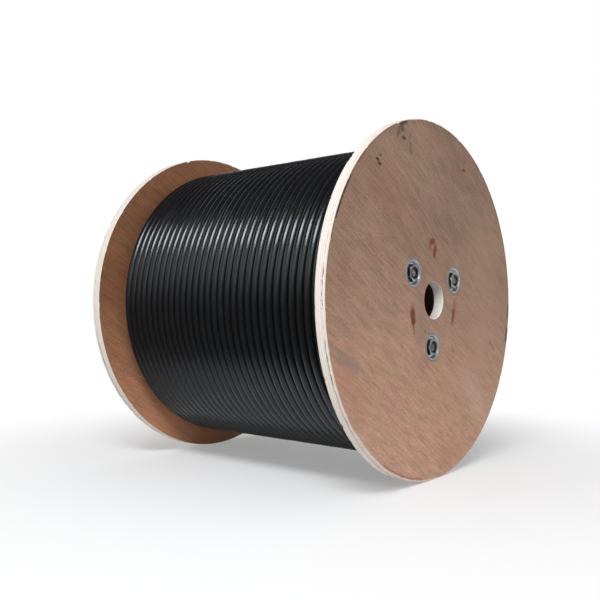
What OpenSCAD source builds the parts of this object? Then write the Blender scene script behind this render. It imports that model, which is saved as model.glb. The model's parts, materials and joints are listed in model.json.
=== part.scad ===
// Plywood cable drum lying on its rims, wound with round cable.
// The drum's axis runs along Y, the front flange faces -Y, and the floor is at z = 0.

/* [Flanges] */
// Diameter of each flange
flange_d = 400; // [380:5:480]
// Thickness of each flange
flange_t = 12; // [11:0.5:18]
// Clear width between the flanges
traverse = 334; // [200:1:450]
// Bevel on both edges of the rim
rim_bevel = 0.6; // [0.3:0.1:1.5]
// Diameter of the arbor hole through each flange
arbor_d = 42; // [30:1:60]

/* [Barrel] */
// Outside diameter of the barrel tube
barrel_od = 140; // [136:1:160]
// Wall of the barrel tube
barrel_wall = 6; // [3:0.5:7]
// Depth of the groove that holds each end of the barrel
groove_depth = 4; // [2:0.5:4.5]
// Clearance of the barrel in its groove, on each face
barrel_fit = 0.2; // [0.1:0.05:0.5]

/* [Cable] */
// Diameter of the cable
cable_d = 10.1; // [8:0.1:11]
// Space between neighbouring turns
turn_gap = 0.1; // [0.05:0.05:0.5]
// Layers of cable on the barrel
layers = 12; // [4:1:12]
// Least room between the top layer and the rear flange
rear_room = 17; // [10:1:40]
// Clearance of the winding on the barrel and beside the flanges
winding_fit = 0.3; // [0.1:0.1:0.8]

/* [Tie rods] */
// Thread diameter of the tie rods
rod_d = 10; // [8:0.5:10]
// Room between a tie rod and the inside of the barrel
rod_room = 6.5; // [3:0.5:10]
// Angle of the first tie rod above the horizontal, seen from the front
rod_angle = 26.5; // [0:0.5:60]
// Clearance of a rod in its flange hole, on each side
rod_fit = 0.4; // [0.2:0.1:0.8]
// Bevel on the ends of a rod
rod_bevel = 1; // [0.4:0.1:1.5]
// How far a rod's end lies below the face of its nut
rod_sink = 1; // [0.5:0.1:2]

/* [Washers and nuts] */
// Diameter of the dished washers
washer_d = 32; // [28:1:36]
// Thickness of the washer's sheet
washer_t = 1.6; // [1:0.1:2]
// Width of the flat lip round the washer's dish
lip_w = 2; // [1:0.1:3]
// Room between a nut's corners and the slope of the dish
nut_room = 0.7; // [0.3:0.1:1.5]
// Depth of the dish below the flange's face
dish_depth = 3.5; // [1:0.1:4]
// Height of the washer's rim above the flange's face
washer_rise = 0.3; // [0:0.1:1]
// Clearance between the dish's slope and its seat in the flange
seat_fit = 0.2; // [0.1:0.05:0.5]
// Width of a nut across its flats
nut_w = 17; // [14:0.5:18]
// Height of a nut
nut_h = 5; // [4:0.5:8]
// Clearance of a rod in its nut, on each side
thread_fit = 0.1; // [0.05:0.05:0.2]

/* [Hidden] */

$fn = 96;
// Extra reach of a cut past the face that it opens
over = 1;

rods = 3;
flange_r = flange_d / 2;
half_traverse = traverse / 2;
// Distance from mid-drum to the outer face of each flange
face_z = half_traverse + flange_t;

barrel_r = barrel_od / 2;
barrel_half = half_traverse + groove_depth - barrel_fit;
// Diameter of the circle that the tie rods stand on, inside the barrel
rod_circle_d = barrel_od - 2 * barrel_wall - 2 * rod_room - rod_d;

cable_r = cable_d / 2;
turn_pitch = cable_d + turn_gap;
// Rise from one layer to the next, whose turns lie in the grooves of the layer below
layer_rise = sqrt(cable_d * cable_d - turn_pitch * turn_pitch / 4);
bore_r = barrel_r + winding_fit;
top_layer = layers - 1;
// Height above the top layer's centre line at which two neighbouring turns seem to meet
groove_floor = 0.4 * cable_r;
// Part of an end turn's radius that is filled flush between the layers
end_fill = 0.45 * cable_r;
// Half the height of a layer's fill, a little more than the cable
fill_half = turn_pitch / 2;

bolt_hole_r = rod_d / 2 + rod_fit;
washer_hole_r = bolt_hole_r;
washer_r = washer_d / 2;
lip_r = washer_r - lip_w;
nut_corner_r = nut_w / 2 / cos(30);
dish_r = nut_corner_r + nut_room;
// Heights above the flange's face
dish_top = -dish_depth;
dish_bottom = dish_top - washer_t;
lip_bottom = washer_rise - washer_t;
// Outward shift of the washer's underside at its two bends, which keeps the sheet's thickness
dish_slope = atan2(washer_rise - dish_top, lip_r - dish_r);
bend_shift = washer_t * tan(dish_slope / 2);
nut_top = dish_top + nut_h;
rod_end = nut_top - rod_sink;
nut_bore_r = rod_d / 2 + thread_fit;
nut_bevel = (nut_corner_r - nut_w / 2) * 0.6;

// Radius of a layer's centre line
function layer_r(i) = bore_r + cable_r + i * layer_rise;
// Layers alternate by half a turn, and the top layer starts at the front flange
function layer_shift(i) = (top_layer - i) % 2 * turn_pitch / 2;
// Room that a layer leaves at the rear flange: the upper layers step back half a turn each
function layer_room(i) = max(winding_fit, rear_room - (top_layer - i) * turn_pitch / 2);
function layer_length(i) = traverse - winding_fit - layer_room(i) - cable_d - layer_shift(i);
function layer_turns(i) = floor(layer_length(i) / turn_pitch) + 1;
// Height of a layer's first turn, beside the front flange, and of any later turn
function turn_z(i, turn) = half_traverse - winding_fit - cable_r - layer_shift(i) - turn * turn_pitch;

// Lays the drum's own axis, with its front end up, along -Y above the floor
module on_floor() {
    translate([0, 0, flange_r])
        rotate([90, 0, 0])
            children();
}

// Places a child with its z = 0 on a flange's outer face, at the front or the rear
module at_face(front) {
    mirror([0, 0, front ? 0 : 1])
        translate([0, 0, face_z])
            children();
}

module at_rod(i) {
    rotate([0, 0, rod_angle + (i - 1) * 360 / rods])
        translate([rod_circle_d / 2, 0, 0])
            children();
}

// A disc lying below z = 0 with its rim bevelled on both edges
module flange_disc() {
    rotate_extrude()
        polygon([
            [0, -flange_t],
            [flange_r - rim_bevel, -flange_t],
            [flange_r, rim_bevel - flange_t],
            [flange_r, -rim_bevel],
            [flange_r - rim_bevel, 0],
            [0, 0]
        ]);
}

// Ring-shaped groove on the inner face for the end of the barrel
module barrel_groove() {
    translate([0, 0, -flange_t - over])
        difference() {
            cylinder(r = barrel_r + barrel_fit, h = groove_depth + over);
            translate([0, 0, -over])
                cylinder(r = barrel_r - barrel_wall - barrel_fit, h = groove_depth + 3 * over);
        }
}

// Dished seat for a washer, open at the flange's face
module washer_seat() {
    rotate_extrude()
        polygon([
            [0, dish_bottom],
            [dish_r + bend_shift + seat_fit, dish_bottom],
            [lip_r + bend_shift + seat_fit, lip_bottom],
            [washer_r + seat_fit, lip_bottom],
            [washer_r + seat_fit, over],
            [0, over]
        ]);
}

module flange(front) {
    at_face(front)
        difference() {
            flange_disc();
            barrel_groove();
            translate([0, 0, -flange_t - over])
                cylinder(d = arbor_d, h = flange_t + 2 * over);
            for (i = [1 : rods])
                at_rod(i) {
                    washer_seat();
                    translate([0, 0, -flange_t - over])
                        cylinder(r = bolt_hole_r, h = flange_t + 2 * over);
                }
        }
}

module front_flange() {
    color("tan")
        on_floor()
            flange(true);
}

module rear_flange() {
    color("tan")
        on_floor()
            flange(false);
}

module barrel() {
    color("peru")
        on_floor()
            translate([0, 0, -barrel_half])
                difference() {
                    cylinder(r = barrel_r, h = 2 * barrel_half);
                    translate([0, 0, -over])
                        cylinder(r = barrel_r - barrel_wall, h = 2 * (barrel_half + over));
                }
}

// Half section of one layer: a filled band with a round turn at each end
module layer_section(i) {
    first = turn_z(i, 0);
    last = turn_z(i, layer_turns(i) - 1);
    low = max(bore_r, layer_r(i) - fill_half);
    high = layer_r(i) + (i == top_layer ? groove_floor : fill_half);
    translate([low, last - end_fill])
        square([high - low, first - last + 2 * end_fill]);
    for (z = [first, last])
        translate([layer_r(i), z])
            circle(r = cable_r);
}

module cable_winding() {
    color([0.08, 0.08, 0.09])
        on_floor()
            rotate_extrude() {
                for (i = [0 : top_layer])
                    layer_section(i);
                for (turn = [1 : layer_turns(top_layer) - 2])
                    translate([layer_r(top_layer), turn_z(top_layer, turn)])
                        circle(r = cable_r);
            }
}

module tie_rod(i) {
    rod_r = rod_d / 2;
    half = face_z + rod_end;
    color("gray")
        on_floor()
            at_rod(i)
                rotate_extrude()
                    polygon([
                        [0, -half],
                        [rod_r - rod_bevel, -half],
                        [rod_r, rod_bevel - half],
                        [rod_r, half - rod_bevel],
                        [rod_r - rod_bevel, half],
                        [0, half]
                    ]);
}

module washer(i, front) {
    color("silver")
        on_floor()
            at_rod(i)
                at_face(front)
                    rotate_extrude()
                        polygon([
                            [washer_hole_r, dish_bottom],
                            [dish_r + bend_shift, dish_bottom],
                            [lip_r + bend_shift, lip_bottom],
                            [washer_r, lip_bottom],
                            [washer_r, washer_rise],
                            [lip_r, washer_rise],
                            [dish_r, dish_top],
                            [washer_hole_r, dish_top]
                        ]);
}

module nut(i, front) {
    color("silver")
        on_floor()
            at_rod(i)
                at_face(front)
                    difference() {
                        intersection() {
                            translate([0, 0, dish_top])
                                cylinder(r = nut_corner_r, h = nut_h, $fn = 6);
                            rotate_extrude()
                                polygon([
                                    [0, dish_top],
                                    [nut_corner_r + over, dish_top],
                                    [nut_corner_r + over, nut_top - nut_bevel - over],
                                    [nut_corner_r - nut_bevel, nut_top],
                                    [0, nut_top]
                                ]);
                        }
                        translate([0, 0, dish_top - over])
                            cylinder(r = nut_bore_r, h = nut_h + 2 * over);
                    }
}

front_flange();
rear_flange();
barrel();
cable_winding();
for (i = [1 : rods]) {
    tie_rod(i);
    washer(i, true);
    washer(i, false);
    nut(i, true);
    nut(i, false);
}
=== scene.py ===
"""Looks of a plywood cable drum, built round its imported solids. Lengths are in metres."""

import json
import math

import bmesh
import bpy
import numpy as np
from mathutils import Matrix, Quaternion, Vector, noise
from mathutils.geometry import delaunay_2d_cdt

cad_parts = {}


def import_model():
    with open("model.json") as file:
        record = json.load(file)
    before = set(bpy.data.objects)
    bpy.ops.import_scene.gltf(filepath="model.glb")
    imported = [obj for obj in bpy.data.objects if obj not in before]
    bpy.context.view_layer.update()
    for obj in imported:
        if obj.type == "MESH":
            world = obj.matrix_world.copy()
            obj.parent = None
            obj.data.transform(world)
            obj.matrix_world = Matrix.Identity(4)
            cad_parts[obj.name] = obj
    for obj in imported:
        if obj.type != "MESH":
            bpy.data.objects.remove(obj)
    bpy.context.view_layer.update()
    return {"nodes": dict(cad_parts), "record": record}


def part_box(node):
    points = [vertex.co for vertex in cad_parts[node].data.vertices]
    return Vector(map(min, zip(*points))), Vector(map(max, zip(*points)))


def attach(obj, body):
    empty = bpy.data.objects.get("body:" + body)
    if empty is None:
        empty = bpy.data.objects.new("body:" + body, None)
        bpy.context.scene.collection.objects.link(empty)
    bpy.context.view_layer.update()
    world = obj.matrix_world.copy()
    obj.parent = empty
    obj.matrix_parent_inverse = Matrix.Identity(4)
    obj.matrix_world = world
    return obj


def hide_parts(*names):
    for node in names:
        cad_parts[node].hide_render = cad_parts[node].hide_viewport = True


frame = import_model()

MM = 0.001
FULL_TURN = 2 * math.pi
# Middle of a face
MIDDLE = (0, 0)
# Reach in which points are merged, and a number too small to matter
MERGE_REACH = 1e-7
TINY = 1e-9
# Room that a filled face's new points leave round its holes
FILL_ROOM = 1 * MM

# Sizes of the drum, read from the frame
flange_low, flange_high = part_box("front_flange")
RIM_R = (flange_high.z - flange_low.z) / 2
AXIS_Z = (flange_high.z + flange_low.z) / 2
FLANGE_T = flange_high.y - flange_low.y
FACE_Y = -flange_low.y
INNER_Y = FACE_Y - FLANGE_T
ARBOR_R = frame["record"]["mounts"][0]["dims"]["r_mm"] * MM
barrel_low, barrel_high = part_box("barrel")
BARREL_R = (barrel_high.x - barrel_low.x) / 2
BARREL_HALF = (barrel_high.y - barrel_low.y) / 2

# Numbers of the tie rods, and the side of each flange along the axis
RODS = (1, 2, 3)
SIDES = {"front": -1, "rear": 1}

# Sizes that repeat the part's own dimensions
BARREL_WALL = 6 * MM
BARREL_FIT = 0.2 * MM
RIM_BEVEL = 0.6 * MM
ROD_R = 5 * MM
ROD_FIT = 0.4 * MM
SEAT_FIT = 0.2 * MM
WASHER_R = 16 * MM
WASHER_T = 1.6 * MM
LIP_W = 2 * MM
WASHER_RISE = 0.3 * MM
DISH_DEPTH = 3.5 * MM
NUT_W = 17 * MM
NUT_H = 5 * MM
NUT_ROOM = 0.7 * MM
ROD_SINK = 1 * MM
CABLE_R = 5.05 * MM
TURN_PITCH = 10.2 * MM
WINDING_FIT = 0.3 * MM
LAYERS = 12
REAR_ROOM = 17 * MM

# Values worked out from them
GROOVE_DEPTH = BARREL_HALF - INNER_Y + BARREL_FIT
BOLT_HOLE_R = ROD_R + ROD_FIT
NUT_CORNER_R = NUT_W / 2 / math.cos(math.pi / 6)
DISH_R = NUT_CORNER_R + NUT_ROOM
LIP_R = WASHER_R - LIP_W
DISH_TOP = -DISH_DEPTH
DISH_BOTTOM = DISH_TOP - WASHER_T
LIP_BOTTOM = WASHER_RISE - WASHER_T
BEND_SHIFT = WASHER_T * math.tan(math.atan2(WASHER_RISE - DISH_TOP, LIP_R - DISH_R) / 2)
NUT_TOP = DISH_TOP + NUT_H
LAYER_RISE = math.sqrt((2 * CABLE_R) ** 2 - (TURN_PITCH / 2) ** 2)
TOP_LAYER = LAYERS - 1


def rod_centre(number):
    """Place of a tie rod on the flange, right of and above the drum's axis."""
    low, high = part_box("tie_rod_%d" % number)
    return (low.x + high.x) / 2, (low.z + high.z) / 2 - AXIS_Z


def smooth(value):
    """Eases a value from 0 to 1."""
    value = min(max(value, 0.0), 1.0)
    return value * value * (3 - 2 * value)


def wobble(angle, row, rate):
    """Smooth noise from about -1 to 1 round the drum, different for each row."""
    return noise.noise(Vector((rate * math.cos(angle), rate * math.sin(angle), row)))


# Mesh building


def placed(name, data):
    """Adds an object to the scene."""
    obj = bpy.data.objects.new(name, data)
    bpy.context.scene.collection.objects.link(obj)
    return obj


class Shell:
    """Collects rings of points, and the faces between them, into one mesh."""

    def __init__(self):
        self.points = []
        self.faces = []
        self.slots = []

    def ring(self, points):
        first = len(self.points)
        self.points.extend(tuple(p) for p in points)
        return list(range(first, len(self.points)))

    def face(self, corners, slot=0):
        self.faces.append(tuple(corners))
        self.slots.append(slot)

    def bridge(self, ring_a, ring_b, slot=0):
        count = len(ring_a)
        for i in range(count):
            j = (i + 1) % count
            self.face((ring_a[i], ring_a[j], ring_b[j], ring_b[i]), slot)

    def bridge_all(self, rings, slot=0):
        for ring_a, ring_b in zip(rings, rings[1:]):
            self.bridge(ring_a, ring_b, slot)

    def fill(self, outer, holes, spots, place, slot=0):
        """Fills the flat face between an outer ring and its holes with even triangles.
        Rings and spots are given as flat points, and place() puts a new spot in space."""
        known = []
        flat = []
        edges = []
        for ring, ring_flat in [outer, *holes]:
            start = len(flat)
            known.extend(ring)
            flat.extend(ring_flat)
            count = len(ring)
            edges.extend((start + i, start + (i + 1) % count) for i in range(count))
        hole_discs = [disc_of(ring_flat) for _, ring_flat in holes]
        reach = disc_of(outer[1])[1]
        flat.extend(s for s in spots
                    if math.hypot(*s) < reach and not in_discs(s, hole_discs, FILL_ROOM))
        made = delaunay_2d_cdt([Vector(p) for p in flat], edges, [], 1, TINY)
        corners, _, triangles, origins = made[:4]
        index = []
        for spot, sources in zip(corners, origins):
            if sources and sources[0] < len(known):
                index.append(known[sources[0]])
            else:
                index.extend(self.ring([place(spot.x, spot.y)]))
        for triangle in triangles:
            middle = sum((corners[i] for i in triangle), Vector((0, 0))) / 3
            if not in_discs(middle, hole_discs, 0):
                self.face([index[i] for i in triangle], slot)

    def object(self, name, materials):
        mesh = bpy.data.meshes.new(name)
        mesh.from_pydata(self.points, [], self.faces)
        mesh.polygons.foreach_set("material_index", self.slots)
        for material in materials:
            mesh.materials.append(material)
        return placed(name, mesh)

    def piece(self, name, materials, sharp_deg=35):
        """Makes a closed piece that rides on the drum, smooth up to a sharp angle."""
        obj = self.object(name, materials)
        face_out(obj.data)
        obj.data.shade_smooth()
        obj.data.set_sharp_from_angle(angle=math.radians(sharp_deg))
        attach(obj, "root")
        return obj


def disc_of(ring_flat):
    """Centre and radius of a round ring of flat points."""
    centre = sum((Vector(p) for p in ring_flat), Vector((0, 0))) / len(ring_flat)
    return centre, max((Vector(p) - centre).length for p in ring_flat)


def in_discs(spot, discs, margin):
    return any((Vector(spot) - centre).length < radius + margin for centre, radius in discs)


def face_out(mesh):
    """Turns all faces of a closed mesh outwards."""
    work = bmesh.new()
    work.from_mesh(mesh)
    bmesh.ops.remove_doubles(work, verts=work.verts, dist=MERGE_REACH)
    bmesh.ops.recalc_face_normals(work, faces=work.faces)
    work.to_mesh(mesh)
    work.free()


def spoke(centre, radius, angle):
    """Flat point at an angle and a distance from a centre."""
    return centre[0] + radius * math.cos(angle), centre[1] + radius * math.sin(angle)


def circle(centre, radius, count):
    """Flat points of a circle."""
    return [spoke(centre, radius, FULL_TURN * i / count) for i in range(count)]


def on_face(side, x, z, height):
    """A point at a height above a flange's outer face. Heights into the wood are negative."""
    return x, side * (FACE_Y + height), AXIS_Z + z


def flat_ring(shell, side, flat, height):
    return shell.ring(on_face(side, x, z, height) for x, z in flat)


def turned(shell, side, centre, profile, count, slot=0):
    """Bridges the rings of a turned profile of radii and heights round a centre on the face. Gives back
    its first and last ring, each with its flat points."""
    flats = [circle(centre, r, count) for r, _ in profile]
    rings = [flat_ring(shell, side, flat, h) for flat, (_, h) in zip(flats, profile)]
    shell.bridge_all(rings, slot)
    return (rings[0], flats[0]), (rings[-1], flats[-1])


# Shader building


class Graph:
    """Adds the nodes of one material by short calls that return sockets."""

    def __init__(self, name):
        self.material = bpy.data.materials.new(name)
        self.material.use_nodes = True
        self.tree = self.material.node_tree
        self.shader = self.tree.nodes["Principled BSDF"]

    def add(self, kind, inputs, **settings):
        node = self.tree.nodes.new(kind)
        for key, value in settings.items():
            setattr(node, key, value)
        for key, value in inputs.items():
            self.put(node.inputs[key], value)
        return node

    def put(self, socket, value):
        if isinstance(value, bpy.types.NodeSocket):
            self.tree.links.new(value, socket)
        else:
            socket.default_value = value

    def finish(self, **inputs):
        """Sets the shader's own inputs, given with _ for each space."""
        for key, value in inputs.items():
            self.put(self.shader.inputs[key.replace("_", " ")], value)
        return self.material

    def show(self, surface):
        """Makes another shader the surface."""
        self.put(self.tree.nodes["Material Output"].inputs["Surface"], surface)
        return self.material

    def emission(self, strength):
        return self.add("ShaderNodeEmission", {"Color": WHITE, "Strength": strength}).outputs[0]

    def coords(self):
        return self.add("ShaderNodeTexCoord", {}).outputs["Object"]

    def from_axis(self):
        """Place of a point, with heights counted from the drum's axis."""
        return self.vector_math("ADD", self.coords(), (0, 0, -AXIS_Z))

    def mapped(self, vector, scale=(1, 1, 1), rotation=(0, 0, 0), offset=(0, 0, 0)):
        inputs = {"Vector": vector, "Scale": scale, "Rotation": rotation, "Location": offset}
        return self.add("ShaderNodeMapping", inputs).outputs[0]

    def noise(self, vector, scale, detail, roughness=0.55, distortion=0.0):
        inputs = {"Vector": vector, "Scale": scale, "Detail": detail, "Roughness": roughness,
                  "Distortion": distortion}
        return self.add("ShaderNodeTexNoise", inputs).outputs["Fac"]

    def streaks(self, vector, scale, detail, roughness=0.55, distortion=0.0, offset=(0, 0, 0)):
        """Noise with a scale of its own along each axis."""
        stretched = self.mapped(vector, scale, offset=offset)
        return self.noise(stretched, 1.0, detail, roughness, distortion)

    def math(self, operation, a, b=0.0):
        return self.add("ShaderNodeMath", {0: a, 1: b}, operation=operation).outputs[0]

    def vector_math(self, operation, a, b=(0, 0, 0), out="Vector"):
        return self.add("ShaderNodeVectorMath", {0: a, 1: b}, operation=operation).outputs[out]

    def scaled(self, vector, factor):
        inputs = {0: vector, "Scale": factor}
        return self.add("ShaderNodeVectorMath", inputs, operation="SCALE").outputs[0]

    def split(self, vector):
        return self.add("ShaderNodeSeparateXYZ", {0: vector}).outputs

    def joined(self, x, y=0.0, z=0.0):
        return self.add("ShaderNodeCombineXYZ", {0: x, 1: y, 2: z}).outputs[0]

    def length(self, a, b):
        """Distance from an axis, from the places along the two others."""
        return self.vector_math("LENGTH", self.joined(a, b), out="Value")

    def ramp(self, value, low, high, out_low=0.0, out_high=1.0):
        """Eased change from one number to another as value goes from low to high."""
        inputs = {"Value": value, "From Min": low, "From Max": high,
                  "To Min": out_low, "To Max": out_high}
        return self.add("ShaderNodeMapRange", inputs, interpolation_type="SMOOTHSTEP").outputs[0]

    def mix(self, factor, a, b, blend="MIX"):
        node = self.add("ShaderNodeMix", {0: factor, 6: a, 7: b}, data_type="RGBA", blend_type=blend)
        return node.outputs[2]

    def bump(self, height, distance, strength):
        inputs = {"Height": height, "Distance": distance, "Strength": strength}
        return self.add("ShaderNodeBump", inputs).outputs[0]

    def stroke(self, spot, start, end, radius, soft):
        """Mask of a round-ended stroke between two points of the face, right and up in metres."""
        a = Vector((start[0], 0, start[1]))
        along = Vector((end[0] - start[0], 0, end[1] - start[1]))
        from_a = self.vector_math("SUBTRACT", spot, a)
        step = along / max(along.length_squared, TINY)
        share = self.vector_math("DOT_PRODUCT", from_a, step, "Value")
        share = self.add("ShaderNodeClamp", {0: share}).outputs[0]
        distance = self.vector_math("DISTANCE", from_a, self.scaled(along, share), "Value")
        return self.ramp(distance, radius + soft, max(radius - soft, 0))


def srgb(red, green, blue):
    """Colour from 0 to 255 as seen, turned into the linear values that shaders use."""
    def linear(c):
        c /= 255
        return c / 12.92 if c <= 0.04045 else ((c + 0.055) / 1.055) ** 2.4
    return linear(red), linear(green), linear(blue), 1.0


WHITE = (1, 1, 1, 1)
# Wood, the dirt on it, and painted light and shade on it
EDGE_CREAM = srgb(232, 227, 218)
EDGE_TAN = srgb(219, 209, 197)
EDGE_PINK = srgb(217, 194, 181)
RUST = srgb(110, 52, 28)
RUST_PALE = srgb(150, 96, 58)
SOOT = srgb(52, 48, 46)
SOOT_BROWN = srgb(60, 40, 31)
DUST = srgb(128, 116, 112)
PALE_DUST = srgb(206, 176, 160)
RAW_ORANGE = srgb(182, 124, 98)
# Painted light: a peach tone for the low inner face, where light comes up from the floor
PAINTED_LIGHT_PEACH = srgb(240, 158, 119)
PALE_WOOD = srgb(184, 149, 124)
PINKISH = srgb(225, 150, 150)
OLIVE = srgb(170, 180, 120)
GLUE = srgb(126, 104, 88)
# Painted shade for the top of the arbor hole, and painted light for its wall
HOLE_PAINTED_SHADE = srgb(112, 108, 92)
HOLE_PAINTED_LIGHT = srgb(250, 247, 238)
# Veneer: dark, light and, for its lower part, a paler tone that is painted light from the floor below
FRONT_TONES = (srgb(141, 114, 96), srgb(161, 131, 111), srgb(210, 167, 142))
REAR_TONES = (srgb(141, 114, 96), srgb(161, 131, 111), srgb(186, 147, 125))
INNER_TONES = (srgb(129, 89, 62), srgb(147, 102, 71), srgb(210, 152, 119))
# Fibre tube: its pulp and its seam
TUBE_TONES = (srgb(150, 116, 82), srgb(176, 142, 104))
TUBE_SEAM = srgb(110, 84, 60)
# Cable jacket: clean, dusty, and the bluish tint of its gloss, painted light that stands in for bluish
# light
JACKET_TONES = (srgb(15, 15, 16), srgb(30, 31, 33))
JACKET_LIGHT_TINT = (0.88, 0.95, 1, 1)
# Zinc: bright and dull
WASHER_TONES = (srgb(210, 214, 220), srgb(180, 186, 192))
# The washer's lip: a darker copy of the zinc, painted shade for the dim room that it mirrors
LIP_SHADED_TONES = (srgb(150, 150, 151), srgb(128, 128, 128))
NUT_TONES = (srgb(76, 76, 74), srgb(48, 48, 46))
CHAMFER_TONES = (srgb(176, 180, 184), srgb(142, 147, 152))
ROD_TONES = (srgb(136, 133, 126), srgb(92, 89, 84))


def rim_points(radius, start_deg, end_deg, step_deg=6):
    """Points along the rim, so that a mark can follow the arris."""
    count = max(1, round((end_deg - start_deg) / step_deg))
    angles = [math.radians(start_deg + (end_deg - start_deg) * i / count) for i in range(count + 1)]
    return [spoke(MIDDLE, radius, angle) for angle in angles]


# Marks on the front face: colour, strength, radius, softness and points, in millimetres from the axis
FRONT_MARKS = [
    (PALE_WOOD, 0.4, 45, 45, [(125, 60), (120, -60)]),
    (RAW_ORANGE, 0.22, 18, 24, [(-110, 112), (-70, 92)]),
    (DUST, 0.55, 6, 7, [(-174, -55), (-152, -66)]),
    (PALE_DUST, 0.3, 14, 16, [(80, -95), (105, -122), (128, -142)]),
    (DUST, 0.4, 10, 12, [(-27, -2), (-28, -36)]),
    (RAW_ORANGE, 0.38, 14, 16, [(-176, -74), (-150, -108)]),
    (RAW_ORANGE, 0.27, 9, 12, [(20, -178), (60, -172)]),
    (RUST_PALE, 0.85, 3, 2, [(-9, 58), (-7, 65), (-2, 67), (3, 62), (1, 50)]),
    (RUST, 0.8, 2.8, 2, [(-6, 65), (-1, 66)]),
    (RUST, 0.85, 3, 2, [(3, 58), (1, 52)]),
    (RUST_PALE, 0.75, 3.6, 2.6, [(-46.5, -8), (-45, -27)]),
    (RUST, 1, 4.6, 2.2, [(-46, -14), (-44.5, -22)]),
    (RUST, 0.7, 1, 1.2, [(-45, -24), (-43, -37)]),
    (RUST_PALE, 0.8, 3.2, 2.2, [(48.5, -4), (46.5, -14), (43.5, -26)]),
    (RUST, 0.7, 2.6, 1.8, [(45.5, -12), (43.5, -23)]),
    (RUST, 0.45, 1.6, 1.4, [(42, -54), (44, -59)]),
    (SOOT, 0.95, 2.4, 2, [(-71, 186), (-58, 189.5)]),
    (SOOT, 0.8, 3, 2.6, [(-67, 184), (-66, 180)]),
    (SOOT, 0.6, 2.6, 2.6, [(-72, 180), (-75, 173)]),
    (SOOT_BROWN, 0.95, 1.9, 1.2, [(-65.5, 171), (-61, 171)]),
    (SOOT, 0.45, 1.8, 1.8, [(-51, 176), (-50.5, 174)]),
    (SOOT, 0.45, 2, 2.2, [(-50, 166), (-48, 158)]),
    (SOOT_BROWN, 1, 1.6, 0.9, [(-114.5, 141), (-111, 140.5)]),
    (SOOT_BROWN, 1, 1.6, 0.9, [(-111.5, 137), (-108, 136.5)]),
    (SOOT_BROWN, 0.7, 1.4, 1, [(-109, 146), (-106.5, 146)]),
    (SOOT_BROWN, 0.8, 1.5, 1, [(70, 156.5), (74, 156)]),
    (SOOT, 0.25, 2.2, 2.4, [(74, 167), (73, 160)]),
    (SOOT, 0.6, 1.3, 1.2, [(-20.4, -34), (-19, -36)]),
    (SOOT, 0.6, 1.3, 1.2, [(-12, -37.5), (-11, -38.5)]),
    (SOOT, 0.55, 1.2, 1.4, [(142, -52), (153, -61)]),
    # Dark lines along the arris, drawn in the soot colour
    (SOOT, 1, 1.5, 0.7, rim_points(198.5, 143.5, 157.5)),
    (SOOT, 0.35, 1.5, 0.7, rim_points(198.5, 133, 138)),
    (SOOT, 0.25, 1, 0.8, rim_points(198.8, 112, 165)),
    (SOOT, 0.8, 2.2, 1.2, rim_points(197.5, -6, -2)),
    (SOOT, 0.95, 2.6, 1.4, rim_points(197, -15, -11)),
    # A cream line along the lower arris, and inside it a brown line of painted shade where the arris lies
    # in shadow
    (EDGE_CREAM, 0.8, 1.1, 0.6, rim_points(199.5, 220, 272)),
    (SOOT_BROWN, 0.5, 0.8, 0.7, rim_points(196.8, 238, 262)),
    # Another dark line along the arris, in the soot colour
    (SOOT, 0.35, 1, 0.8, rim_points(198.8, 20, 80)),
]
# Marks on the other faces, in the same way
INNER_MARKS = [
    # Painted light: a peach patch low on the inner face, standing in for light from the floor
    (PAINTED_LIGHT_PEACH, 0.4, 18, 24, [(-95, -158), (-30, -184)]),
]
REAR_MARKS = [
    (DUST, 0.5, 14, 16, [(-120, 60), (-60, 110)]),
    (SOOT, 0.5, 3, 3, [(96, 120), (110, 104)]),
    (RUST, 0.5, 2.2, 1.8, [(44, -10), (46, -22)]),
    (RAW_ORANGE, 0.4, 20, 20, [(60, -120), (120, -60)]),
]


# Direction of the grain on the flanges, falling to the right
GRAIN_TURN = math.radians(-31)
# Where each sheet of veneer is cut from the same endless grain
FRONT_CUT = 0.0
REAR_CUT = 3.7
INNER_CUT = 8.1
# Heights from the axis between which the paler lower tone, painted light from the floor below, comes in,
# and its strength
OUTER_PAINTED_LIGHT_REACH = (RIM_R * 0.6, -RIM_R)
INNER_PAINTED_LIGHT_REACH = (RIM_R * 0.2, -RIM_R * 0.95)
PAINTED_LIGHT_STRENGTH = 0.8
HUE_STRENGTH = 0.15
# Shade that each layer of the grain gives, from its dark to its pale places, and that of its pores
MOTTLE_SHADE = (-0.09, 0.08)
FIBRE_SHADE = (-0.15, 0.13)
SPECK_SHADE = (-0.12, 0.11)
PORE_SHADE = -0.20
# Fineness of the noise that roughens marks, and how far it moves them
SMEAR_SCALE = 190.0
SMEAR_REACH = 3 * MM


def draw_marks(g, colour, flat, grip, marks):
    """Mixes marks into a colour, with rough outlines and as the grain takes them."""
    fine = g.add("ShaderNodeTexNoise", {"Vector": flat, "Scale": SMEAR_SCALE, "Detail": 3.0})
    smear = fine.outputs["Color"]
    smear = g.scaled(g.vector_math("SUBTRACT", smear, (0.5, 0.5, 0.5)), SMEAR_REACH)
    loose = g.vector_math("ADD", flat, g.vector_math("MULTIPLY", smear, (1, 0, 1)))
    for tint, strength, radius, soft, points in marks:
        for start, end in zip(points, points[1:]):
            mask = g.stroke(loose, Vector(start) * MM, Vector(end) * MM, radius * MM, soft * MM)
            mask = g.math("MULTIPLY", mask, strength)
            colour = g.mix(g.math("MULTIPLY", mask, grip), colour, tint)
    return colour


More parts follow.
